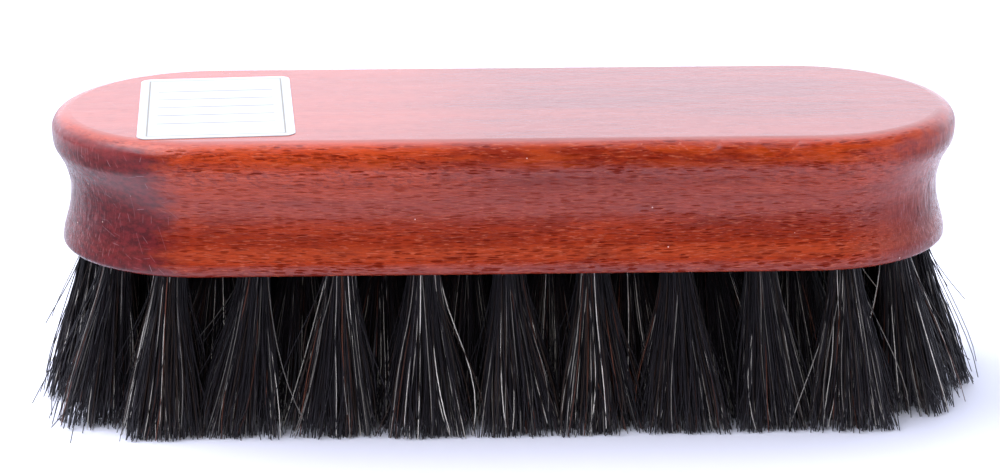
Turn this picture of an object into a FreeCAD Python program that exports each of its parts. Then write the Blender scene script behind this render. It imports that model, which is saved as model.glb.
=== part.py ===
import FreeCAD, Part
import math
import os
from FreeCAD import Matrix, Placement, Vector

# Shoe shine brush: a lacquered beech block with folded horsehair tufts stapled
# into blind holes in its underside. Millimetres, +Z up, +X along the length.
# Origin: the middle of the brush on the surface that the hair tips stand on.

# ---------------------------------------------------------------- dimensions
BLOCK_LENGTH = 165.0        # over the top rim
BLOCK_WIDTH = 56.8          # over the top rim
BLOCK_HEIGHT = 24.4
HAIR_FREE = 29.6            # trimmed hair standing below the block

# Side of the block from the top face down to the underside. The top edge and the
# lower edge are quarter ellipses, and the finger cove between them is given as
# (height above the underside, distance in from the top rim's outline).
TOP_ROUND_IN, TOP_ROUND_DOWN = 3.5, 3.0
COVE = [
    (20.75, 0.0), (20.10, 0.01), (19.30, 0.07), (18.50, 0.22), (17.80, 0.52), (17.00, 0.98),
    (16.20, 1.45), (15.30, 1.87), (13.40, 2.50),
    (11.00, 2.93),                                   # waist of the finger cove
    (8.80, 2.87), (6.80, 2.60), (4.90, 2.10), (3.50, 1.67), (2.20, 1.34), (1.50, 1.21),
]
LIP_IN, LIP_UP = 1.14, 0.8                           # lower lip
UNDER_ROUND_IN = 0.7

HOLE_R = 3.0                # drilled blind holes, one to a tuft
HOLE_DEPTH = 10.0           # to the shoulder
DRILL_POINT = 118.0         # included angle of the drill, degrees

TUFT_ROOT_R = 2.95          # hair bundle in its hole
TUFT_TIP_R = 6.6            # at the trimmed end
TUFT_FOLD_Z = 10.0          # deepest point of the folded hair, from the mouth
TUFT_FOLD_R = 2.35          # rounding of the fold
FLARE_START = 0.9           # the hair starts to spread this far below the mouth

WIRE_R = 0.4                # staple wire
STAPLE_R = 2.0              # crown, to the wire's middle
STAPLE_Z = 8.0              # middle of the crown's curve, from the mouth
STAPLE_LEG = 6.7            # straight part of a leg
STAPLE_POINT = 0.8          # cut point of a leg
STAPLE_ROOM = 0.05          # hair stands this far off the wire

LEAN_X = 0.060              # how far the tips lean outwards, per mm from the middle
LEAN_Y = 0.198

LABEL_W, LABEL_L = 27.7, 41.9   # paper sticker, across and along
LABEL_T = 0.12
LABEL_CORNER = 2.0
LABEL_AT = (-52.6, -1.8)
LABEL_TURN = 3.9            # degrees, counter-clockwise from above

PITCH = 15.05               # tufts along a row
ROW_OUT, ROW_IN = 19.2, 9.6     # distance of the rows from the middle line

# Tuft positions on the underside, row by row. The rows are staggered, and three
# more tufts follow the round of each end.
ON_PITCH = [PITCH * i for i in range(-4, 5)]
BETWEEN = [PITCH * (i + 0.5) for i in range(-4, 4)]
ROWS = {
    "front": [(x, -ROW_OUT) for x in ON_PITCH],
    "front_inner": [(x, -ROW_IN) for x in BETWEEN],
    "centre": [(x, 0.0) for x in ON_PITCH],
    "back_inner": [(x, ROW_IN) for x in BETWEEN],
    "back": [(x, ROW_OUT) for x in ON_PITCH],
    "left_end": [(-70.2, -12.4), (-75.1, 0.0), (-70.2, 12.4)],
    "right_end": [(70.2, -12.4), (75.1, 0.0), (70.2, 12.4)],
}

# ------------------------------------------------------------------- derived
Z_UNDER = HAIR_FREE
Z_TOP = HAIR_FREE + BLOCK_HEIGHT
END_R = BLOCK_WIDTH / 2.0               # the ends are half circles
END_X = BLOCK_LENGTH / 2.0 - END_R      # their centres
Z_AXIS = Vector(0, 0, 1)

os.makedirs("parts", exist_ok=True)


def line(a, b):
    return Part.LineSegment(a, b).toShape()


def side_points():
    """(height, distance in) from the top face's edge to the underside's edge."""
    pts = []
    for deg in (0, 8, 17, 27, 38, 50, 63, 76, 90):
        a = math.radians(deg)
        pts.append(
            (BLOCK_HEIGHT - TOP_ROUND_DOWN * (1 - math.cos(a)), TOP_ROUND_IN * (1 - math.sin(a)))
        )
    pts += COVE
    for deg in (0, 20, 38, 54, 68, 80, 90):
        a = math.radians(deg)
        pts.append((LIP_UP * (1 - math.sin(a)), LIP_IN + UNDER_ROUND_IN * (1 - math.cos(a))))
    return pts


def side_curve(at):
    """Side of the block as one smooth curve. at(distance out, z) gives its points."""
    pts = [at(END_R - inset, Z_UNDER + z) for z, inset in side_points()]
    curve = Part.BSplineCurve()
    curve.interpolate(pts)
    return curve.toShape(), pts[0], pts[-1]


def block_end():
    """Half-round right-hand end of the block."""
    edge, top, under = side_curve(lambda r, z: Vector(END_X, -r, z))
    axis_top, axis_under = Vector(END_X, 0, Z_TOP), Vector(END_X, 0, Z_UNDER)
    wire = Part.Wire(
        [line(axis_top, top), edge, line(under, axis_under), line(axis_under, axis_top)]
    )
    return Part.Face(wire).revolve(Vector(END_X, 0, 0), Z_AXIS, 180)


def block_blank():
    """The shaped block before it is drilled."""
    front, ft, fu = side_curve(lambda r, z: Vector(-END_X, -r, z))
    back, bt, bu = side_curve(lambda r, z: Vector(-END_X, r, z))
    section = Part.Face(Part.Wire([line(bt, ft), front, line(fu, bu), back]))
    middle = section.extrude(Vector(2 * END_X, 0, 0))
    right = block_end()
    left = right.copy()
    left.rotate(Vector(0, 0, 0), Z_AXIS, 180)
    return middle.fuse([right, left]).removeSplitter()


def frame_at(x, y):
    """Placement of a hole: its local Z runs up the hole from the mouth, and its local
    X along the row. Outer holes are drilled at a slant, so that their hair spreads."""
    up = Vector(-LEAN_X * x, -LEAN_Y * y, HAIR_FREE)
    up.normalize()
    along = Vector(1, 0, 0) - up * up.x
    along.normalize()
    across = up.cross(along)
    return Placement(
        Matrix(
            along.x, across.x, up.x, x,
            along.y, across.y, up.y, y,
            along.z, across.z, up.z, Z_UNDER,
            0, 0, 0, 1,
        )
    )


def turned(profile):
    """Solid of revolution about local Z from a closed list of edges."""
    return Part.Face(Part.Wire(profile)).revolve(Vector(0, 0, 0), Z_AXIS, 360)


def hole():
    """What the drill takes out: a blind hole with the drill's point at its bottom."""
    tip = HOLE_DEPTH + HOLE_R / math.tan(math.radians(DRILL_POINT / 2))
    p = [Vector(0, 0, -2), Vector(HOLE_R, 0, -2), Vector(HOLE_R, 0, HOLE_DEPTH), Vector(0, 0, tip)]
    return turned([line(p[i], p[(i + 1) % 4]) for i in range(4)])


def tuft():
    """Folded bundle of hair: a rounded root that fills the hole, and a spread tail."""
    reach = HAIR_FREE + 4.0
    flat = TUFT_ROOT_R - TUFT_FOLD_R
    shoulder = TUFT_FOLD_Z - TUFT_FOLD_R
    h = TUFT_FOLD_R * math.sqrt(0.5)
    slope = (TUFT_TIP_R - TUFT_ROOT_R) / (HAIR_FREE - FLARE_START)
    a, b = Vector(0, 0, TUFT_FOLD_Z), Vector(flat, 0, TUFT_FOLD_Z)
    c = Vector(TUFT_ROOT_R, 0, shoulder)
    d = Vector(TUFT_ROOT_R, 0, -FLARE_START)
    e = Vector(TUFT_ROOT_R + slope * (reach - FLARE_START), 0, -reach)
    f = Vector(0, 0, -reach)
    fold = Part.Arc(b, Vector(flat + h, 0, shoulder + h), c).toShape()
    return turned([line(a, b), fold, line(c, d), line(d, e), line(e, f), line(f, a)])


def staple(r):
    """Bent wire: a round crown that holds the fold down, and two pointed legs."""
    ring = Part.Face(Part.Wire(Part.makeCircle(r, Vector(STAPLE_R, 0, STAPLE_Z), Z_AXIS)))
    crown = ring.revolve(Vector(0, 0, STAPLE_Z), Vector(0, 1, 0), 180)
    legs = []
    for s in (-1, 1):
        foot = Vector(s * STAPLE_R, 0, STAPLE_Z)
        legs.append(Part.makeCylinder(r, STAPLE_LEG, foot, Z_AXIS))
        legs.append(
            Part.makeCone(r, 0.2 * r, STAPLE_POINT, foot + Vector(0, 0, STAPLE_LEG), Z_AXIS)
        )
    return crown.fuse(legs).removeSplitter()


def placed(shape, placement):
    s = shape.copy()
    s.Placement = placement.multiply(s.Placement)
    return s


def one_solid(shape, name):
    solids = shape.Solids
    if len(solids) != 1 or not shape.isValid():
        raise ValueError("%s: %d solids, valid %s" % (name, len(solids), shape.isValid()))
    return solids[0]


# --------------------------------------------------------------------- build
the_hole, the_tuft = hole(), tuft()
the_staple, staple_room = staple(WIRE_R), staple(WIRE_R + STAPLE_ROOM)
below = Part.makeBox(400, 200, 40, Vector(-200, -100, -40))

block = block_blank()
drilled = []
counts = {}
for row, places in ROWS.items():
    staples = []
    for i, (x, y) in enumerate(places, 1):
        at = frame_at(x, y)
        wire = placed(the_staple, at)
        staples.append(one_solid(wire, "staple"))
        drilled += [placed(the_hole, at), wire]
        name = "tuft_%s_%d" % (row, i)
        hair = placed(the_tuft, at).cut([below, placed(staple_room, at)])
        one_solid(hair, name).exportStep("parts/%s.step" % name)
    Part.makeCompound(staples).exportStep("parts/staples_%s.step" % row)
    counts[row] = len(places)

block = one_solid(block.cut(drilled), "block")
block.exportStep("parts/block.step")

# Paper sticker with rounded corners, flat on the top face.
w, l, k = LABEL_W / 2, LABEL_L / 2, LABEL_CORNER
q = k * (1 - math.sqrt(0.5))
edges = []
corners = [(w, l, 1, 1), (-w, l, -1, 1), (-w, -l, -1, -1), (w, -l, 1, -1)]
ends = []
for cx, cy, sx, sy in corners:
    on_y = Vector(cx - sx * k, cy, 0)
    on_x = Vector(cx, cy - sy * k, 0)
    mid = Vector(cx - sx * q, cy - sy * q, 0)
    first, last = (on_x, on_y) if sx * sy > 0 else (on_y, on_x)
    if ends:
        edges.append(line(ends[-1], first))
    edges.append(Part.Arc(first, mid, last).toShape())
    ends += [first, last]
edges.append(line(ends[-1], ends[0]))
label = Part.Face(Part.Wire(edges)).extrude(Vector(0, 0, LABEL_T))
label.rotate(Vector(0, 0, 0), Z_AXIS, LABEL_TURN)
label.translate(Vector(LABEL_AT[0], LABEL_AT[1], Z_TOP))
one_solid(label, "label").exportStep("parts/label.step")

print("tufts", sum(counts.values()), counts)
print("block volume cm3", round(block.Volume / 1000, 2), "faces", len(block.Faces))
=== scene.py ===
import math

import bpy
import numpy as np
from mathutils import Matrix, Vector


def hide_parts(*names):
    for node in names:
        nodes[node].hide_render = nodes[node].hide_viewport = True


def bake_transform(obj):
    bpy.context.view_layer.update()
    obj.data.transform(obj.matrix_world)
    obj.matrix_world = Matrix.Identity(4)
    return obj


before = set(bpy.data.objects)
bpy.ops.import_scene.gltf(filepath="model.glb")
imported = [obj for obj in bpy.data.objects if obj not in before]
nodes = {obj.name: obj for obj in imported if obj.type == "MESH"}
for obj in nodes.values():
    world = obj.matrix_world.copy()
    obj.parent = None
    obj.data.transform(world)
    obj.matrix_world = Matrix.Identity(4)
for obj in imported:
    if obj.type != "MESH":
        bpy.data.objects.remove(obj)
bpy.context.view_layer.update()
scene = bpy.context.scene

MM = 0.001

# ------------------------------------------------------------------ dimensions
# The same layout as the CAD model, in millimetres.
Z_UNDER, Z_TOP = 29.6, 54.0
PITCH, ROW_OUT, ROW_IN = 15.05, 19.2, 9.6
LEAN_X, LEAN_Y = 0.060, 0.198
ON_PITCH = [PITCH * i for i in range(-4, 5)]
BETWEEN = [PITCH * (i + 0.5) for i in range(-4, 4)]
ROWS = {
    "front": [(x, -ROW_OUT) for x in ON_PITCH],
    "front_inner": [(x, -ROW_IN) for x in BETWEEN],
    "centre": [(x, 0.0) for x in ON_PITCH],
    "back_inner": [(x, ROW_IN) for x in BETWEEN],
    "back": [(x, ROW_OUT) for x in ON_PITCH],
    "left_end": [(-70.2, -12.4), (-75.1, 0.0), (-70.2, 12.4)],
    "right_end": [(70.2, -12.4), (75.1, 0.0), (70.2, 12.4)],
}
OUTER = {"front", "back", "left_end", "right_end"}
# how much of its spread a tuft keeps along and across the brush
FLAT = {"front": (0.84, 0.66), "back": (0.84, 0.66), "left_end": (0.80, 0.90), "right_end": (0.80, 0.90)}
# how far the tips of a row are pushed outwards, in mm
PUSH = {"front": -1.7, "back": 1.7, "front_inner": -5.4, "back_inner": 5.4}


# ----------------------------------------------------------------- node helpers
class Tree:
    """Short spellings for building a material's nodes."""

    def __init__(self, tree):
        self.t = tree
        self.t.nodes.clear()

    def node(self, kind, inputs=None, **props):
        n = self.t.nodes.new(kind)
        for k, v in props.items():
            setattr(n, k, v)
        for k, v in (inputs or {}).items():
            self.set(n.inputs[k], v)
        return n

    def set(self, socket, value):
        if isinstance(value, bpy.types.NodeSocket):
            self.t.links.new(value, socket)
        else:
            socket.default_value = value

    def math(self, op, a, b=0.0, c=0.0, clamp=False):
        n = self.node("ShaderNodeMath", operation=op, use_clamp=clamp)
        for i, v in enumerate((a, b, c)):
            self.set(n.inputs[i], v)
        return n.outputs[0]

    def ramp01(self, value, lo, hi, smooth=True, out=(0.0, 1.0)):
        n = self.node(
            "ShaderNodeMapRange",
            interpolation_type="SMOOTHSTEP" if smooth else "LINEAR",
        )
        for k, v in zip(
            ("Value", "From Min", "From Max", "To Min", "To Max"),
            (value, lo, hi, *out),
        ):
            self.set(n.inputs[k], v)
        return n.outputs[0]

    def mix(self, fac, a, b, blend="MIX"):
        n = self.node("ShaderNodeMix", data_type="RGBA", blend_type=blend)
        self.set(n.inputs[0], fac)
        self.set(n.inputs[6], a)
        self.set(n.inputs[7], b)
        return n.outputs[2]

    def scaled(self, vector, s, offset=(0, 0, 0)):
        n = self.node("ShaderNodeMapping", {"Vector": vector})
        n.inputs["Scale"].default_value = s
        n.inputs["Location"].default_value = offset
        return n.outputs[0]

    def noise(self, vector, scale=1.0, detail=2.0, rough=0.5, distort=0.0):
        n = self.node(
            "ShaderNodeTexNoise",
            {"Vector": vector, "Scale": scale, "Detail": detail, "Roughness": rough, "Distortion": distort},
        )
        return n.outputs["Fac"]


def material(name):
    m = bpy.data.materials.new(name)
    m.use_nodes = True
    return m, Tree(m.node_tree)


def srgb(r, g, b):
    def lin(c):
        c /= 255.0
        return c / 12.92 if c <= 0.04045 else ((c + 0.055) / 1.055) ** 2.4

    return (lin(r), lin(g), lin(b), 1.0)


def close(tree, shader):
    out = tree.node("ShaderNodeOutputMaterial")
    tree.t.links.new(shader.outputs[0], out.inputs["Surface"])


# ------------------------------------------------------------------------ wood
def wood_material():
    m, t = material("lacquered_beech")
    where = t.node("ShaderNodeTexCoord").outputs["Object"]
    mm = t.scaled(where, (1000, 1000, 1000))

    # a slow wander of the grain, so that nothing runs dead straight
    wander = t.node(
        "ShaderNodeTexNoise",
        {"Vector": t.scaled(mm, (0.012, 0.05, 0.05)), "Scale": 1.0, "Detail": 2.0},
    ).outputs["Color"]
    drift = t.node("ShaderNodeVectorMath", {0: wander, 1: (0.5, 0.5, 0.5)}, operation="SUBTRACT").outputs[0]
    drift = t.node("ShaderNodeVectorMath", {0: drift, 1: (0.0, 4.0, 4.0)}, operation="MULTIPLY").outputs[0]
    grain = t.node("ShaderNodeVectorMath", {0: mm, 1: drift}, operation="ADD").outputs[0]

    # broad bands of lighter and deeper stain
    broad = t.noise(t.scaled(grain, (0.016, 0.10, 0.12)), detail=3.0, rough=0.55)
    col = t.mix(t.ramp01(broad, 0.34, 0.66), srgb(130, 33, 10), srgb(156, 47, 13))
    # blotches where the stain took more
    blot = t.noise(t.scaled(grain, (0.10, 0.30, 0.36), (7, 3, 1)), detail=4.0, rough=0.62)
    normal = t.node("ShaderNodeSeparateXYZ", {0: t.node("ShaderNodeNewGeometry").outputs["Normal"]})
    upward = t.ramp01(normal.outputs[2], 0.80, 0.98, out=(1.0, 0.40))
    col = t.mix(t.math("MULTIPLY", t.ramp01(blot, 0.48, 0.74, out=(0, 0.55)), upward), col, srgb(92, 16, 8))
    # the upper half came out lighter to the left and deeper just right of the middle
    spot = t.node("ShaderNodeSeparateXYZ", {0: grain})
    sx, sz = spot.outputs[0], spot.outputs[2]
    z0 = t.node("ShaderNodeSeparateXYZ", {0: mm}).outputs[2]
    upper = t.ramp01(sz, 42.5, 49.0)
    light = t.math("ADD", t.ramp01(sx, 6.0, -24.0, out=(0.0, 0.42)), t.ramp01(sx, 52.0, 68.0, out=(0.0, 0.08)))
    deep = t.math("MULTIPLY", t.ramp01(sx, -18.0, 10.0, out=(0.0, 0.60)), t.ramp01(sx, 66.0, 30.0))
    col = t.mix(t.math("MULTIPLY", light, upper), col, srgb(194, 66, 20))
    col = t.mix(t.math("MULTIPLY", t.math("MULTIPLY", deep, upper), t.ramp01(normal.outputs[2], 0.90, 0.55)), col, srgb(108, 22, 8))
    # painted light: the finger grip's recess is made a little lighter above its middle, where it faces down and gets
    # less light
    upper_cove_painted_light = t.math("MULTIPLY", t.ramp01(sz, 38.5, 42.0), t.ramp01(sz, 49.0, 46.5))
    col = t.mix(t.math("MULTIPLY", upper_cove_painted_light, 0.10), col, srgb(190, 68, 26))
    # deeper below the waist and paler again above the lip; under the lip, painted shade where it faces down
    lower = t.math("MULTIPLY", t.ramp01(sz, 34.0, 35.6), t.ramp01(sz, 39.0, 36.6))
    col = t.mix(t.math("MULTIPLY", lower, 0.26), col, srgb(112, 22, 4))
    foot = t.math("MULTIPLY", t.ramp01(z0, 32.0, 32.8), t.ramp01(z0, 35.2, 34.0))
    col = t.mix(t.math("MULTIPLY", foot, 0.09), col, srgb(212, 112, 72))
    # painted shade: the lip darkened towards its underside, which faces down and gets less light
    col = t.mix(t.ramp01(z0, 32.0, 30.4, out=(0.0, 0.40)), col, srgb(92, 24, 20))
    # year rings about a pith well below the block
    sep = t.node("ShaderNodeSeparateXYZ", {0: grain})
    dy = t.math("ADD", sep.outputs[1], -18.0)
    dz = t.math("ADD", sep.outputs[2], 70.0)
    rad = t.math("SQRT", t.math("ADD", t.math("MULTIPLY", dy, dy), t.math("MULTIPLY", dz, dz)))
    ring = t.ramp01(t.math("FRACT", t.math("MULTIPLY", rad, 0.27)), 0.62, 1.0)
    col = t.mix(t.math("MULTIPLY", ring, 0.14), col, srgb(104, 20, 9))
    # fine fibres
    fibre = t.noise(t.scaled(grain, (0.30, 4.2, 4.2)), detail=4.0, rough=0.66)
    col = t.mix(t.math("MULTIPLY", t.ramp01(fibre, 0.42, 0.66, out=(0.0, 0.34)), upward), col, srgb(92, 16, 7))
    pale = t.noise(t.scaled(grain, (0.42, 5.2, 5.2), (3, 9, 5)), detail=3.0, rough=0.6)
    col = t.mix(t.math("MULTIPLY", t.ramp01(pale, 0.54, 0.74, out=(0.0, 0.18)), upward), col, srgb(212, 98, 46))

    # torn grain along the rim, where the cutter went against it
    slant = t.node("ShaderNodeMapping", {"Vector": mm})
    slant.inputs["Rotation"].default_value = (0, math.radians(-16), 0)
    torn = t.noise(t.scaled(slant.outputs[0], (0.62, 1.0, 1.7), (6, 4, 2)), detail=5.0, rough=0.70, distort=0.7)
    band = t.math("MULTIPLY", t.ramp01(sz, 45.5, 47.5), t.ramp01(sz, 53.6, 52.0))
    col = t.mix(t.math("MULTIPLY", band, t.ramp01(torn, 0.50, 0.57, out=(0.0, 0.56))), col, srgb(104, 22, 7))

    # medullary rays: short dark flecks along the grain, some strong and some faint
    fray = t.node("ShaderNodeTexNoise", {"Vector": t.scaled(grain, (0.9, 1.2, 2.2)), "Scale": 1.0, "Detail": 2.0}).outputs["Color"]
    fray = t.node("ShaderNodeVectorMath", {0: fray, 1: (0.5, 0.5, 0.5)}, operation="SUBTRACT").outputs[0]
    fray = t.node("ShaderNodeVectorMath", {0: fray, 1: (1.2, 0.5, 0.16)}, operation="MULTIPLY").outputs[0]
    ragged = t.node("ShaderNodeVectorMath", {0: grain, 1: fray}, operation="ADD").outputs[0]

    def flecks(size, offset, share, radius):
        v = t.node(
            "ShaderNodeTexVoronoi",
            {"Vector": t.scaled(ragged, tuple(1.0 / k for k in size), offset), "Scale": 1.0, "Randomness": 1.0},
            feature="F1",
        )
        pick = t.node("ShaderNodeSeparateXYZ", {0: v.outputs["Color"]})
        here = t.ramp01(pick.outputs[0], share, share - 0.05)
        deep = t.ramp01(pick.outputs[1], 0.0, 1.0, smooth=False, out=(0.50, 1.0))
        spot = t.ramp01(v.outputs["Distance"], radius, radius * 0.60)
        return t.math("MULTIPLY", t.math("MULTIPLY", here, spot), deep)

    dash = t.noise(t.scaled(grain, (0.38, 1.2, 3.9), (1, 6, 4)), detail=2.5, rough=0.55)
    dash = t.ramp01(dash, 0.555, 0.600)
    clear = t.noise(t.scaled(grain, (0.50, 1.5, 4.6), (9, 2, 7)), detail=2.5, rough=0.55)
    clear = t.ramp01(clear, 0.59, 0.64)
    pore = t.math("MAXIMUM", flecks((2.3, 1.5, 0.38), (0, 0, 0), 0.52, 0.45), flecks((3.4, 2.0, 0.44), (5, 8, 3), 0.40, 0.43))
    # they show less on the top face, which is cut the other way
    face = normal
    facing = t.ramp01(face.outputs[2], 0.80, 0.98, out=(1.0, 0.22))
    ragged_edge = t.noise(t.scaled(mm, (0.16, 0.16, 0.55), (2, 7, 3)), detail=3.0, rough=0.6)
    toward_end = t.math("ADD", face.outputs[0], t.ramp01(ragged_edge, 0.25, 0.75, smooth=False, out=(-0.11, 0.11)))
    # full strength at the left end, 0.4 at the right: the left end's extra darkness is painted shade
    end_grain_and_left_shade = t.math("ADD", t.ramp01(toward_end, -0.06, -0.36), t.ramp01(toward_end, 0.25, 0.80, out=(0.0, 0.40)))
    end_grain_and_left_shade = t.math("MULTIPLY", end_grain_and_left_shade, t.ramp01(face.outputs[2], 0.93, 0.60))
    facing = t.math("MULTIPLY", facing, t.math("SUBTRACT", 1.0, t.math("MULTIPLY", end_grain_and_left_shade, 0.85)))
    facing = t.math("MULTIPLY", facing, t.math("MAXIMUM", t.ramp01(sz, 37.5, 42.5, out=(1.0, 0.62)), t.ramp01(sz, 47.5, 49.5)))
    facing = t.math("MULTIPLY", facing, t.ramp01(t.math("ABSOLUTE", face.outputs[0]), 0.30, 0.72, out=(1.0, 0.12)))
    fleck = t.math("MULTIPLY", t.math("MAXIMUM", t.math("MULTIPLY", dash, 0.45), pore), facing)
    # pale crests between the flecks: partly lighter wood, partly painted glints of the lacquer on that relief
    pale_wood_and_painted_glint = t.math("MULTIPLY", t.math("MULTIPLY", clear, facing), t.math("SUBTRACT", 1.0, fleck))
    col = t.mix(t.math("MULTIPLY", pale_wood_and_painted_glint, 0.26), col, srgb(210, 112, 72))
    col = t.mix(t.math("MULTIPLY", fleck, 0.86), col, srgb(88, 13, 3))

    # the ends show end grain, which drinks more stain; the left end is painted darker than the right as shade
    drink = t.noise(t.scaled(mm, (0.62, 0.62, 1.15), (8, 2, 5)), detail=4.0, rough=0.68)
    drunk = t.mix(t.ramp01(drink, 0.34, 0.68), srgb(56, 12, 21), srgb(102, 24, 31))
    col = t.mix(t.math("MULTIPLY", end_grain_and_left_shade, 0.84), col, drunk)
    # with fine dark upright lines where the cutter went round, and painted highlight streaks between them
    cut_end = t.ramp01(t.math("ABSOLUTE", normal.outputs[0]), 0.35, 0.85)
    lines = t.noise(t.scaled(mm, (3.4, 3.4, 0.22), (1, 3, 9)), detail=3.0, rough=0.6)
    col = t.mix(t.math("MULTIPLY", cut_end, t.ramp01(lines, 0.48, 0.60, out=(0.0, 0.42))), col, srgb(52, 12, 18))
    # painted highlights: pale mauve streaks between the upright lines
    col = t.mix(t.math("MULTIPLY", cut_end, t.ramp01(lines, 0.42, 0.34, out=(0.0, 0.22))), col, srgb(190, 130, 132))
    scored = t.noise(t.scaled(mm, (0.85, 0.85, 0.05), (6, 2, 4)), detail=2.0, rough=0.5)
    scored = t.ramp01(t.math("ABSOLUTE", t.math("SUBTRACT", scored, 0.5)), 0.030, 0.008)
    hollow_end = t.math("MULTIPLY", t.ramp01(z0, 34.0, 37.0), t.ramp01(z0, 47.0, 44.5))
    scored = t.math("MULTIPLY", t.math("MULTIPLY", scored, hollow_end), t.ramp01(t.math("ABSOLUTE", normal.outputs[0]), 0.60, 0.80))
    col = t.mix(t.math("MULTIPLY", scored, 0.55), col, srgb(48, 14, 22))

    # painted highlight: a pale pink band along the rounding of the rim at both ends
    end_rim_painted_highlight = t.math("MULTIPLY", t.ramp01(t.math("ABSOLUTE", normal.outputs[0]), 0.15, 0.60), t.ramp01(z0, 49.6, 51.8))
    end_rim_painted_highlight = t.math("MULTIPLY", end_rim_painted_highlight, t.ramp01(normal.outputs[2], 0.97, 0.80))
    col = t.mix(t.math("MULTIPLY", end_rim_painted_highlight, 0.22), col, srgb(172, 78, 78))
    calm = t.math("MULTIPLY", t.ramp01(normal.outputs[2], 0.93, 0.995), t.ramp01(sx, -60.0, 0.0, out=(0.16, 0.30)))
    col = t.mix(calm, col, srgb(98, 45, 14))

    # scratches on the end grain: thin straight strokes, most of them slanting the same way
    at = t.node("ShaderNodeSeparateXYZ", {0: mm})
    turned = t.math("ARCTAN2", at.outputs[1], t.math("SUBTRACT", t.math("ABSOLUTE", at.outputs[0]), 54.1))
    round_end = t.math("ADD", t.math("MULTIPLY", turned, 27.0), t.math("MULTIPLY", t.math("SIGN", at.outputs[0]), 61.0))

    def strokes(cell, share, half, thick, tilt):
        place = t.node(
            "ShaderNodeCombineXYZ",
            {0: t.math("DIVIDE", round_end, cell), 1: t.math("DIVIDE", at.outputs[2], cell)},
        ).outputs[0]
        v = t.node(
            "ShaderNodeTexVoronoi", {"Vector": place, "Scale": 1.0, "Randomness": 1.0},
            feature="F1", voronoi_dimensions="2D",
        )
        pick = t.node("ShaderNodeSeparateXYZ", {0: v.outputs["Color"]})
        off = t.node("ShaderNodeVectorMath", {0: place, 1: v.outputs["Position"]}, operation="SUBTRACT")
        off = t.node("ShaderNodeSeparateXYZ", {0: off.outputs[0]})
        turn = t.ramp01(pick.outputs[0], 0.0, 1.0, smooth=False, out=tilt)
        c, d = t.math("COSINE", turn), t.math("SINE", turn)
        u = t.math("ADD", t.math("MULTIPLY", off.outputs[0], c), t.math("MULTIPLY", off.outputs[1], d))
        w = t.math("SUBTRACT", t.math("MULTIPLY", off.outputs[1], c), t.math("MULTIPLY", off.outputs[0], d))
        on = t.math("MULTIPLY", t.ramp01(t.math("ABSOLUTE", w), thick, thick * 0.4), t.ramp01(t.math("ABSOLUTE", u), half, half * 0.4))
        on = t.math("MULTIPLY", on, t.ramp01(pick.outputs[1], share, share - 0.05))
        return t.math("MULTIPLY", on, t.ramp01(pick.outputs[2], 0.0, 1.0, smooth=False, out=(0.35, 1.0)))

    marks = t.math("MAXIMUM", strokes(1.7, 0.36, 0.62, 0.040, (-0.3, 2.0)), t.math("MULTIPLY", strokes(5.0, 0.40, 0.70, 0.0135, (0.2, 1.5)), 0.75))
    marks = t.math("MULTIPLY", t.math("MULTIPLY", marks, end_grain_and_left_shade), t.ramp01(normal.outputs[2], 0.45, 0.15))
    col = t.mix(t.math("MULTIPLY", marks, 0.26), col, srgb(202, 156, 162))

    # the stain is a little thinner round the top rim
    rim = t.math("MULTIPLY", t.ramp01(z0, 48.6, 50.6), t.ramp01(z0, 53.98, 53.3))
    rub = t.noise(t.scaled(grain, (0.10, 0.5, 0.6), (2, 2, 8)), detail=3.0)
    worn = t.math("MULTIPLY", rim, t.ramp01(rub, 0.42, 0.70, out=(0.0, 0.40)))
    worn = t.math("MULTIPLY", worn, t.math("SUBTRACT", 1.0, end_grain_and_left_shade, clamp=True))
    col = t.mix(worn, col, srgb(190, 72, 20))

    # a few specks of dust caught in the lacquer, painted pale as glints
    v = t.node("ShaderNodeTexVoronoi", {"Vector": t.scaled(mm, (0.36, 0.36, 0.36), (3, 1, 2)), "Scale": 1.0, "Randomness": 1.0}, feature="F1")
    some = t.ramp01(t.node("ShaderNodeSeparateXYZ", {0: v.outputs["Color"]}).outputs[0], 0.16, 0.15)
    dust_and_painted_glint = t.math("MULTIPLY", some, t.ramp01(v.outputs["Distance"], 0.060, 0.030))
    dust_and_painted_glint = t.math("MULTIPLY", dust_and_painted_glint, t.ramp01(normal.outputs[2], 0.9, 0.5))
    col = t.mix(t.math("MULTIPLY", dust_and_painted_glint, 0.75), col, srgb(236, 190, 176))

    # pores are a little sunk, and the lacquer lies slightly uneven over the grain
    height = t.math("SUBTRACT", t.math("MULTIPLY", pale_wood_and_painted_glint, 0.5), t.math("MULTIPLY", fleck, 0.9))
    height = t.math("SUBTRACT", height, t.math("MULTIPLY", marks, 0.3))
    bump = t.node("ShaderNodeBump", {"Strength": 0.6, "Distance": 0.00004, "Height": height})
    uneven = t.noise(t.scaled(mm, (0.16, 0.30, 0.30), (4, 1, 6)), detail=3.0, rough=0.55)
    uneven = t.math("MULTIPLY", uneven, t.ramp01(normal.outputs[2], 0.90, 0.98, out=(1.0, 0.55)))
    soft = t.math("ADD", uneven, t.ramp01(z0, 30.2, 32.2, out=(0.0, 1.45)))
    flow = t.node("ShaderNodeBump", {"Strength": 0.30, "Distance": 0.0004, "Height": soft})
    lac = t.math("SUBTRACT", t.math("MULTIPLY", pale_wood_and_painted_glint, 0.5), t.math("MULTIPLY", fleck, 0.9))
    lac = t.math("SUBTRACT", lac, t.math("MULTIPLY", marks, 0.3))
    lac = t.math("ADD", lac, t.math("MULTIPLY", t.math("MULTIPLY", lines, cut_end), 2.2))
    skin = t.node("ShaderNodeBump", {"Strength": 0.55, "Distance": 0.00004, "Height": lac, "Normal": flow.outputs[0]})

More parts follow.
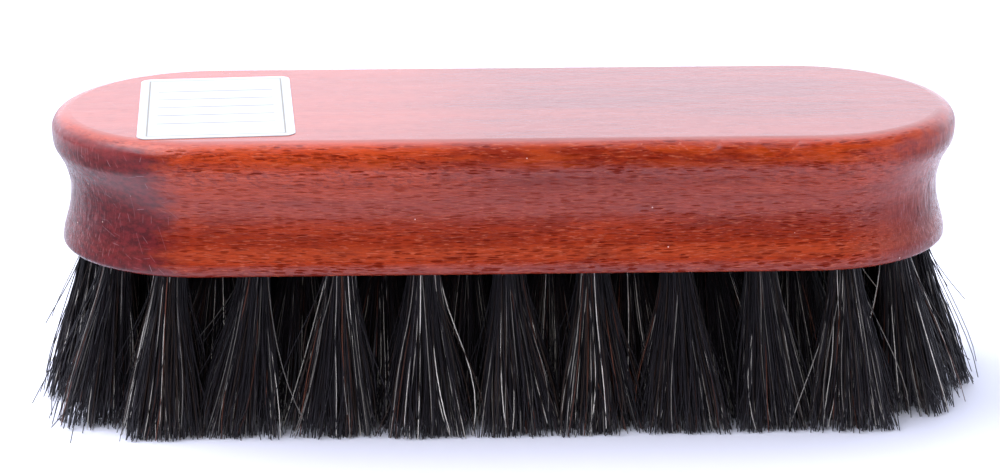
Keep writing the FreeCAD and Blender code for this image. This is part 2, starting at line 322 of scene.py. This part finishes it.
    # the flecks take hardly any lacquer, and the torn foot of the rim less
    lacquer = t.ramp01(t.math("MULTIPLY", fleck, t.ramp01(normal.outputs[2], 0.90, 0.50, out=(0.2, 1.0))), 0.0, 0.75, smooth=False, out=(1.0, 0.05))
    dull = t.math("MULTIPLY", t.ramp01(z0, 48.8, 50.0), t.ramp01(z0, 52.0, 51.0))
    dull = t.math("MULTIPLY", dull, t.math("SUBTRACT", 1.0, end_grain_and_left_shade, clamp=True))
    lacquer = t.math("MULTIPLY", lacquer, t.ramp01(dull, 0.0, 1.0, smooth=False, out=(1.0, 0.62)))
    # and it is broken by the upright lines of the ends
    lacquer = t.math("MULTIPLY", lacquer, t.ramp01(scored, 0.0, 1.0, smooth=False, out=(1.0, 0.30)))
    broken = t.math("MULTIPLY", cut_end, t.ramp01(lines, 0.46, 0.60))
    lacquer = t.math("MULTIPLY", lacquer, t.ramp01(broken, 0.0, 1.0, smooth=False, out=(1.0, 0.55)))

    s = t.node(
        "ShaderNodeBsdfPrincipled",
        {
            "Base Color": col,
            "Roughness": t.ramp01(fibre, 0.3, 0.8, out=(0.46, 0.60)),
            "Specular IOR Level": 0.03,
            "Coat Weight": lacquer,
            "Coat Roughness": 0.20,
            "Coat IOR": 1.55,
            "Normal": bump.outputs[0],
            "Coat Normal": skin.outputs[0],
        },
    )
    close(t, s)
    return m


# ----------------------------------------------------------------------- paper
def paper_material():
    m, t = material("sticker_paper")
    where = t.node("ShaderNodeTexCoord").outputs["Object"]
    mm = t.scaled(where, (1000, 1000, 1000))
    fibre = t.noise(t.scaled(mm, (3.0, 5.0, 5.0)), detail=4.0, rough=0.65)
    cloud = t.noise(t.scaled(mm, (0.12, 0.12, 0.12)), detail=2.0)
    col = t.mix(t.ramp01(cloud, 0.3, 0.7), srgb(183, 187, 192), srgb(191, 194, 197))
    col = t.mix(t.ramp01(fibre, 0.45, 0.8, out=(0, 0.25)), col, srgb(172, 177, 183))
    # faint ruled lines inside a thin border, in the sticker's own directions
    turn = t.node("ShaderNodeMapping", {"Vector": mm}, vector_type="TEXTURE")
    turn.inputs["Location"].default_value = (-52.6, -1.8, 0)
    turn.inputs["Rotation"].default_value = (0, 0, math.radians(3.9))
    own = t.node("ShaderNodeSeparateXYZ", {0: turn.outputs[0]})
    ax, ay = t.math("ABSOLUTE", own.outputs[0]), t.math("ABSOLUTE", own.outputs[1])
    step = t.math("ABSOLUTE", t.math("SUBTRACT", t.math("FRACT", t.math("ADD", t.math("DIVIDE", own.outputs[1], 5.6), 0.5)), 0.5))
    rule = t.ramp01(step, 0.052, 0.030)
    rule = t.math("MULTIPLY", rule, t.math("MULTIPLY", t.ramp01(ax, 10.6, 10.4), t.ramp01(ay, 15.0, 14.8)))
    edge = t.math("MAXIMUM", t.math("SUBTRACT", ax, 12.15), t.math("SUBTRACT", ay, 19.25))
    frame_line = t.ramp01(t.math("ABSOLUTE", edge), 0.22, 0.12)
    ink = t.math("MAXIMUM", rule, frame_line)
    col = t.mix(t.math("MULTIPLY", ink, 0.84), col, srgb(126, 119, 108))
    bump = t.node("ShaderNodeBump", {"Strength": 0.2, "Distance": 0.00003, "Height": fibre})
    s = t.node(
        "ShaderNodeBsdfPrincipled",
        {
            "Base Color": col, "Roughness": t.ramp01(fibre, 0.3, 0.7, out=(0.42, 0.55)),
            "Specular IOR Level": 0.2, "Normal": bump.outputs[0],
        },
    )
    close(t, s)
    return m


# ------------------------------------------------------------------------ wire
def wire_material():
    m, t = material("staple_wire")
    where = t.node("ShaderNodeTexCoord").outputs["Object"]
    mm = t.scaled(where, (1000, 1000, 1000))
    drawn = t.noise(t.scaled(mm, (9.0, 9.0, 1.2)), detail=3.0)
    col = t.mix(drawn, srgb(150, 147, 140), srgb(198, 196, 190))
    s = t.node(
        "ShaderNodeBsdfPrincipled",
        {"Base Color": col, "Metallic": 1.0, "Roughness": t.ramp01(drawn, 0.2, 0.8, out=(0.25, 0.45))},
    )
    close(t, s)
    return m


# ------------------------------------------------------------------------ hair
def hair_material():
    m, t = material("horsehair")
    own = t.node("ShaderNodeAttribute", attribute_name="hair_tone").outputs["Color"]
    where = t.node("ShaderNodeTexCoord").outputs["Object"]
    mm = t.scaled(where, (1000, 1000, 1000))
    along = t.noise(t.scaled(mm, (2.0, 2.0, 0.35)), detail=2.0)
    shade = t.ramp01(along, 0.3, 0.7, out=(0.78, 1.25))
    tone = t.node("ShaderNodeVectorMath", {0: own, 1: shade}, operation="MULTIPLY").outputs[0]
    s = t.node(
        "ShaderNodeBsdfPrincipled",
        {"Base Color": tone, "Roughness": 0.34, "Specular IOR Level": 0.5},
    )
    close(t, s)
    return m


def hole_axes(x, y):
    up = np.array([-LEAN_X * x, -LEAN_Y * y, Z_UNDER])
    up /= np.linalg.norm(up)
    along = np.array([1.0, 0, 0]) - up * up[0]
    along /= np.linalg.norm(along)
    return along, np.cross(up, along), up


def unit(v):
    return v / np.maximum(np.linalg.norm(v, axis=-1, keepdims=True), 1e-9)


def half_tail(rng, x, y, xi, eta, segs, lean, reach, flat):
    """One end of every fibre: points from the mouth of the hole to the cut tip, in mm."""
    n = len(xi)
    along, across, up = hole_axes(x, y)
    root = np.array([x, y, Z_UNDER]) + xi[:, None] * along + eta[:, None] * across
    fan = np.stack([xi, eta], 1) / 2.78
    # hairs gather in locks, and each lock goes its own way
    m = 9
    pick = rng.choice(n, m, replace=False)
    lock = np.argmin(((fan[:, None] - fan[pick][None]) ** 2).sum(-1), 1)
    pull = rng.normal(0, 0.65, (m, 2))[lock]
    gather = (fan[pick][lock] - fan) * 0.22
    spread = (fan + gather) * (0.86 + 0.26 * rng.random((n, 1)))
    # tips are pressed against their neighbours, so a tuft's end is more square than round
    far = np.maximum(np.linalg.norm(spread, axis=1, keepdims=True), 1e-6)
    spread = spread * (far / np.max(np.abs(spread), axis=1, keepdims=True).clip(1e-6)) ** 0.75
    # most keep to the bundle, some are unruly and a few stray
    kind = rng.random(n)
    loose = np.where(kind < 0.80, 0.50, np.where(kind < 0.955, 1.4, 3.6))
    tip = np.empty((n, 3))
    tip[:, :2] = np.array([x * (1 + LEAN_X), y * (1 + LEAN_Y)]) + lean + spread * reach * flat + pull * flat
    tip[:, :2] += rng.normal(0, 1, (n, 2)) * loose[:, None]
    tip[:, 0] = np.clip(tip[:, 0], -91.0, 91.0)
    out = np.maximum(np.abs(tip[:, 1]) - 28.0, 0)
    tip[:, 1] = np.where(out > 0, np.sign(tip[:, 1]) * (28.0 + 4.4 * (1 - np.exp(-out / 4.4))), tip[:, 1])
    cut = rng.exponential(0.22, n)
    cut = np.where(rng.random(n) < 0.06, cut + rng.uniform(0.4, 3.0, n), cut)
    cut = np.where(kind > 0.955, cut + rng.uniform(0.0, 4.5, n), cut)
    # and one in a hundred is broken off short
    cut = np.where(rng.random(n) < 0.012, rng.uniform(4.0, 17.0, n), cut)
    tip[:, 2] = 0.12 + cut
    span = tip - root
    length = np.linalg.norm(span, axis=1, keepdims=True)
    straight = span / length
    d0 = unit(-0.52 * up + 0.48 * straight + rng.normal(0, 0.035, (n, 3)))
    wild = np.where(kind > 0.80, 0.20, 0.10)[:, None]
    d1 = unit(straight * 1.06 + up * 0.06 + rng.normal(0, 1, (n, 3)) * wild)
    p1 = root + d0 * length * rng.uniform(0.28, 0.42, (n, 1))
    p2 = tip - d1 * length * rng.uniform(0.26, 0.42, (n, 1))
    s = np.linspace(0, 1, segs + 1)[None, :, None]
    pts = (
        (1 - s) ** 3 * root[:, None]
        + 3 * (1 - s) ** 2 * s * p1[:, None]
        + 3 * (1 - s) * s**2 * p2[:, None]
        + s**3 * tip[:, None]
    )
    # the slight wave of natural hair
    way = unit(np.cross(straight, rng.normal(0, 1, (n, 3))))
    waves = rng.uniform(0.6, 1.7, (n, 1, 1))
    phase = rng.uniform(0, 2 * math.pi, (n, 1, 1))
    amp = np.abs(rng.normal(0, 0.15, (n, 1, 1)))
    ease = np.clip(s * 2.5, 0, 1)
    pts = pts + way[:, None] * amp * np.sin(2 * math.pi * waves * s + phase) * ease
    pts[..., 2] = np.maximum(pts[..., 2], 0.1)
    return pts


def fibre_tones(rng, n):
    """Linear colours of the fibres: nearly all black, some dark brown, a few grey or white."""
    k = rng.random(n)
    tone = np.array([0.0096, 0.0078, 0.0102]) * rng.uniform(0.5, 1.5, (n, 1))
    brown = (k > 0.75) & (k <= 0.88)
    tone[brown] = np.array([0.018, 0.0105, 0.0080]) * rng.uniform(0.6, 1.4, (brown.sum(), 1))
    red = (k > 0.88) & (k <= 0.905)
    tone[red] = np.array([0.090, 0.030, 0.018]) * rng.uniform(0.5, 1.4, (red.sum(), 1))
    grey = (k > 0.905) & (k <= 0.968)
    tone[grey] = np.array([0.130, 0.120, 0.112]) * rng.uniform(0.4, 1.5, (grey.sum(), 1))
    white = k > 0.968
    tone[white] = np.array([0.56, 0.53, 0.49]) * rng.uniform(0.6, 1.25, (white.sum(), 1))
    return tone


def tuft_piece(name, x, y, outer, flat, push, seed, mat):
    """A tuft of separate hairs. Each fibre is folded over the staple's crown, so it runs
    from one cut tip up into the hole, round the wire and down again to the other tip."""
    rng = np.random.default_rng(seed)
    n, segs, sides = (270, 8, 4) if outer else (190, 6, 3)
    # places in the hole, either side of the wire
    xi, eta = np.empty(0), np.empty(0)
    while len(xi) < n:
        a = rng.uniform(-2.75, 2.75, 4 * n)
        b = rng.uniform(0.55, 2.75, 4 * n)
        ok = a * a + b * b < 2.78**2
        xi, eta = np.concatenate([xi, a[ok]]), np.concatenate([eta, b[ok]])
    xi, eta = xi[:n], eta[:n]
    along, across, up = hole_axes(x, y)
    mouth = np.array([x, y, Z_UNDER])
    lean = rng.normal(0, 1, 2) * (1.3, 0.5) + (0.0, push)
    reach = rng.uniform(8.7, 9.9) if outer else 8.6
    a_end = half_tail(rng, x, y, xi, eta, segs, lean, reach, flat)
    b_end = half_tail(rng, x, y, xi, -eta, segs, lean, reach, flat)
    crown = 8.0 - np.sqrt(np.maximum(4.0 - xi * xi, 0.25))
    fold = []
    for th in np.linspace(0, math.pi, 5):
        h, v = eta * math.cos(th), crown + eta * math.sin(th)
        fold.append(mouth + xi[:, None] * along + h[:, None] * across + v[:, None] * up)
    line = np.concatenate([a_end[:, ::-1], np.stack(fold, 1), b_end], 1)
    k = line.shape[1]

    tan = np.gradient(line, axis=1)
    tan = unit(tan)
    n1 = unit(along - (tan @ along)[..., None] * tan)
    n2 = np.cross(tan, n1)
    rad = rng.uniform(0.078, 0.112, (n, 1)) * np.ones((1, k))
    ends = np.minimum(np.arange(k), np.arange(k)[::-1]) / float(segs)
    rad *= 0.80 + 0.20 * np.clip(ends, 0, 1)
    ang = np.arange(sides) * 2 * math.pi / sides
    ring = (
        line[:, :, None]
        + rad[..., None, None]
        * (np.cos(ang)[:, None] * n1[:, :, None] + np.sin(ang)[:, None] * n2[:, :, None])
    )
    ring[..., 2] = np.maximum(ring[..., 2], 0.01)
    co = ring.reshape(-1, 3) * MM

    i = np.arange(n)[:, None, None] * (k * sides)
    j = np.arange(k - 1)[None, :, None] * sides
    s0 = np.arange(sides)[None, None, :]
    s1 = (s0 + 1) % sides
    quads = np.stack([i + j + s0, i + j + s1, i + j + sides + s1, i + j + sides + s0], -1).reshape(-1, 4)
    first = (np.arange(n)[:, None] * (k * sides)) + np.arange(sides)[None, ::-1]
    last = (np.arange(n)[:, None] * (k * sides)) + (k - 1) * sides + np.arange(sides)[None]
    caps = np.concatenate([first, last])
    loops = np.concatenate([quads.ravel(), caps.ravel()])
    starts = np.concatenate(
        [np.arange(len(quads)) * 4, len(quads) * 4 + np.arange(len(caps)) * sides]
    )
    me = bpy.data.meshes.new(name)
    me.vertices.add(len(co))
    me.vertices.foreach_set("co", co.astype(np.float32).ravel())
    me.loops.add(len(loops))
    me.loops.foreach_set("vertex_index", loops.astype(np.int32))
    me.polygons.add(len(starts))
    me.polygons.foreach_set("loop_start", starts.astype(np.int32))
    smooth = np.ones(len(starts), bool)
    smooth[len(quads):] = False
    me.polygons.foreach_set("use_smooth", smooth)
    me.update(calc_edges=True)

    # a colour for each fibre, a touch lighter towards the tips
    tone = fibre_tones(rng, n)[:, None, :] * (1.15 - 0.30 * np.clip(ends, 0, 1))[None, :, None]
    rgba = np.ones((n, k, sides, 4), np.float32)
    rgba[..., :3] = tone[:, :, None, :]
    attr = me.attributes.new("hair_tone", "FLOAT_COLOR", "POINT")
    attr.data.foreach_set("color", rgba.ravel())

    # a strip of the map for each fibre
    grid = int(math.ceil(math.sqrt(n)))
    cell = 1.0 / grid
    fib, row, side = np.meshgrid(np.arange(n), np.arange(k), np.arange(sides), indexing="ij")
    fib, row, side = fib.ravel(), row.ravel(), side.ravel()
    u0, v0 = (fib % grid) * cell, (fib // grid) * cell
    vu = u0 + cell * (0.08 + 0.84 * side / sides)
    vv = v0 + cell * (0.08 + 0.84 * row / (k - 1))
    uv = np.stack([vu, vv], 1)[loops]
    wrap = np.zeros(len(loops), bool)
    q = np.arange(len(quads) * 4).reshape(-1, 4)
    seam = side[quads[:, 1]] == 0
    wrap[q[seam][:, 1]] = True
    wrap[q[seam][:, 2]] = True
    uv[wrap, 0] += cell * 0.84
    layer = me.uv_layers.new(name="OFBake")
    layer.data.foreach_set("uv", uv.astype(np.float32).ravel())

    me.materials.append(mat)
    ob = bpy.data.objects.new(name, me)
    scene.collection.objects.link(ob)
    return ob


# ---------------------------------------------------------------------- assign
wood, paper, wire, hair = wood_material(), paper_material(), wire_material(), hair_material()
for name, ob in nodes.items():
    if name == "block":
        mat = wood
    elif name == "label":
        mat = paper
    elif name.startswith("staples"):
        mat = wire
    else:
        mat = hair
    for s in ob.material_slots:
        s.material = mat

seed = 4100
for row, places in ROWS.items():
    for i, (x, y) in enumerate(places, 1):
        seed += 1
        node = "tuft_%s_%d" % (row, i)
        piece = tuft_piece("hair_%s_%d" % (row, i), x, y, row in OUTER, np.array(FLAT.get(row, (1.0, 1.0))), PUSH.get(row, 0.0), seed, hair)
        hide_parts(node)
        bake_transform(piece)

# ----------------------------------------------------------------------- stage
def floor_object():
    me = bpy.data.meshes.new("floor")
    r = 6.0
    me.from_pydata([(-r, -r, 0), (r, -r, 0), (r, r, 0), (-r, r, 0)], [], [(0, 1, 2, 3)])
    ob = bpy.data.objects.new("floor", me)
    scene.collection.objects.link(ob)
    m, t = material("floor_white")
    where = t.node("ShaderNodeTexCoord").outputs["Object"]
    soft = t.noise(t.scaled(where, (3, 3, 3)), detail=1.0)
    col = t.mix(soft, (0.72, 0.73, 0.84, 1), (0.74, 0.75, 0.85, 1))
    y = t.node("ShaderNodeSeparateXYZ", {0: where}).outputs[1]
    # painted light: the floor glows more towards the back, standing in for the backdrop's light on it
    painted_backlight = t.ramp01(y, -0.05, 0.16, out=(0.0, 0.30))
    s = t.node(
        "ShaderNodeBsdfPrincipled",
        {
            "Base Color": col, "Roughness": 0.55, "Specular IOR Level": 0.3,
            "Emission Color": (1.0, 0.99, 0.97, 1.0), "Emission Strength": painted_backlight,
        },
    )
    # far from the brush the floor, seen directly, runs out into the plain backdrop
    far = t.node("ShaderNodeVectorMath", {0: where}, operation="LENGTH").outputs["Value"]
    seen = t.node("ShaderNodeLightPath").outputs["Is Camera Ray"]
    sweep = t.math("MULTIPLY", t.ramp01(far, 0.40, 0.90), seen)
    plain = t.node("ShaderNodeEmission", {"Color": (0.98, 0.985, 1.0, 1.0), "Strength": 1.25})
    both = t.node("ShaderNodeMixShader", {0: sweep, 1: s.outputs[0], 2: plain.outputs[0]})
    close(t, both)
    me.materials.append(m)


def world_light():
    """A bright backdrop behind, softboxes at the sides, and a dim room in front."""
    w = bpy.data.worlds.new("studio")
    scene.world = w
    w.use_nodes = True
    t = Tree(w.node_tree)
    way = t.node("ShaderNodeSeparateXYZ", {0: t.node("ShaderNodeTexCoord").outputs["Generated"]})
    x, y, z = way.outputs
    low = t.ramp01(z, 0.90, 0.30)
    wide = t.math("ABSOLUTE", x)
    back = t.math("MULTIPLY", t.ramp01(y, 0.25, 0.80), t.ramp01(wide, 0.98, 0.70))
    over = t.math("MULTIPLY", t.ramp01(y, -0.34, 0.42), t.ramp01(z, 0.40, 0.80))
    over = t.math("MULTIPLY", over, t.ramp01(wide, 0.75, 0.30))
    back = t.math("MAXIMUM", back, over)
    left = t.math("MULTIPLY", t.ramp01(x, -0.55, -0.90), low)
    right = t.math("MULTIPLY", t.ramp01(x, 0.55, 0.90), low)
    toward = t.node("ShaderNodeVectorMath", {0: t.node("ShaderNodeTexCoord").outputs["Generated"], 1: (-0.72, 0.20, 0.66)}, operation="DOT_PRODUCT").outputs["Value"]
    box = t.ramp01(toward, 0.78, 0.96)
    panel = t.math("MULTIPLY", t.ramp01(x, 0.01, -0.30), t.ramp01(x, -0.90, -0.62))
    panel = t.math("MULTIPLY", panel, t.math("MULTIPLY", t.ramp01(y, -0.76, -0.48), t.ramp01(y, 0.45, 0.10)))
    panel = t.math("MULTIPLY", panel, t.ramp01(z, 0.42, 0.66))
    level = t.math("ADD", t.math("MULTIPLY", back, 2.04), 0.08)
    level = t.math("ADD", level, t.math("MULTIPLY", left, 0.34))
    level = t.math("ADD", level, t.math("MULTIPLY", right, 0.78))
    level = t.math("ADD", level, t.math("MULTIPLY", box, 0.9))
    level = t.math("ADD", level, t.math("MULTIPLY", panel, 3.2))
    crown = t.math("MULTIPLY", t.math("MULTIPLY", t.ramp01(z, 0.50, 0.75), t.ramp01(y, 0.15, 0.55)), t.ramp01(wide, 0.75, 0.30))
    level = t.math("ADD", level, t.math("MULTIPLY", crown, 0.9))
    bg = t.node("ShaderNodeBackground", {"Color": (0.80, 0.85, 1.0, 1.0), "Strength": level})
    # seen directly, the backdrop is plain and pale all round
    plain = t.node("ShaderNodeBackground", {"Color": (0.98, 0.985, 1.0, 1.0), "Strength": 1.25})
    seen = t.node("ShaderNodeLightPath").outputs["Is Camera Ray"]
    both = t.node("ShaderNodeMixShader", {0: seen, 1: bg.outputs[0], 2: plain.outputs[0]})
    out = t.node("ShaderNodeOutputWorld")
    t.t.links.new(both.outputs[0], out.inputs["Surface"])


def area(name, at, to, size, watts, colour=(1, 1, 1), glossy=True):
    data = bpy.data.lights.new(name, "AREA")
    data.shape, data.size, data.size_y = "RECTANGLE", size[0], size[1]
    data.energy, data.color = watts, colour
    ob = bpy.data.objects.new(name, data)
    scene.collection.objects.link(ob)
    ob.location = at
    ob.rotation_mode = "QUATERNION"
    ob.rotation_quaternion = (Vector(to) - Vector(at)).to_track_quat("-Z", "Y")
    ob.visible_glossy = glossy
    return ob


def flag():
    """A dark card laid on the floor. Only reflections see it, as they would see the dim
    parts of a studio table."""
    me = bpy.data.meshes.new("flag")
    me.from_pydata([(-5, -5, 0.0004), (5, -5, 0.0004), (5, 5, 0.0004), (-5, 5, 0.0004)], [], [(0, 1, 2, 3)])
    ob = bpy.data.objects.new("flag", me)
    scene.collection.objects.link(ob)
    m, t = material("flag_dark")
    at = t.node("ShaderNodeSeparateXYZ", {0: t.node("ShaderNodeTexCoord").outputs["Object"]})
    front = t.math("MAXIMUM", t.math("MULTIPLY", at.outputs[1], -1.0), 0.02)
    away = t.math("DIVIDE", 1.0, front)
    left = t.math("MULTIPLY", t.math("ADD", at.outputs[0], 0.065), away)
    right = t.math("MULTIPLY", t.math("SUBTRACT", at.outputs[0], 0.065), away)
    mask = t.math("MULTIPLY", t.ramp01(left, -1.0, -0.45), t.ramp01(right, 1.3, 0.3))
    mask = t.math("MULTIPLY", mask, t.ramp01(away, 9.5, 2.0, out=(0.10, 0.94)))
    # and the table is less bright out to the sides
    side = t.math("ADD", t.ramp01(at.outputs[0], -0.09, -0.15, out=(0.0, 0.76)), t.ramp01(at.outputs[0], 0.11, 0.24, out=(0.0, 0.40)))
    side = t.math("MULTIPLY", side, t.ramp01(at.outputs[1], 0.13, -0.03, out=(0.5, 1.0)))
    mask = t.math("MAXIMUM", mask, side)
    clear = t.node("ShaderNodeBsdfTransparent")
    dark = t.node("ShaderNodeEmission", {"Color": (0.80, 0.85, 1.0, 1.0), "Strength": 0.05})
    mix = t.node("ShaderNodeMixShader", {0: mask, 1: clear.outputs[0], 2: dark.outputs[0]})
    close(t, mix)
    me.materials.append(m)
    ob.visible_camera = ob.visible_diffuse = ob.visible_transmission = False
    ob.visible_shadow = ob.visible_volume_scatter = False


floor_object()
world_light()
flag()
area("key", (-0.27, -0.98, 0.54), (0, 0, 0.03), (0.8, 0.5), 4.4, (1.0, 0.98, 0.96), glossy=False)
area("fill", (0.74, -0.88, 0.52), (0, 0, 0.03), (0.8, 0.5), 5.5, (0.97, 0.98, 1.0), glossy=False)
area("top", (-0.50, 0.10, 0.85), (-0.05, 0, 0.05), (0.6, 0.6), 6.6, (1.0, 0.99, 0.97), glossy=False)


# ---------------------------------------------------------------------- camera
def camera():
    el, yaw, roll = math.radians(17.44), math.radians(1.881), math.radians(0.081)
    d, focal = 520.0, 2802.38
    target = Vector((0, 0, 29.6))
    back = Vector((-math.cos(el) * math.sin(yaw), -math.cos(el) * math.cos(yaw), math.sin(el)))
    at = target + back * d
    right = Vector((math.cos(yaw), -math.sin(yaw), 0))
    up = back.cross(right)
    aim = -back * focal + right * -4.899 + up * -7.55
    data = bpy.data.cameras.new("camera")
    data.sensor_width = 36.0
    data.lens = focal / 1000.0 * 36.0
    data.clip_start, data.clip_end = 0.01, 20.0
    ob = bpy.data.objects.new("camera", data)
    scene.collection.objects.link(ob)
    ob.rotation_mode = "QUATERNION"
    ob.rotation_quaternion = aim.to_track_quat("-Z", "Y") @ Matrix.Rotation(-roll, 3, "Z").to_quaternion()
    ob.location = at * MM
    scene.camera = ob


camera()
scene.view_settings.view_transform = "Standard"
scene.view_settings.look = "None"
scene.view_settings.exposure = 0.0
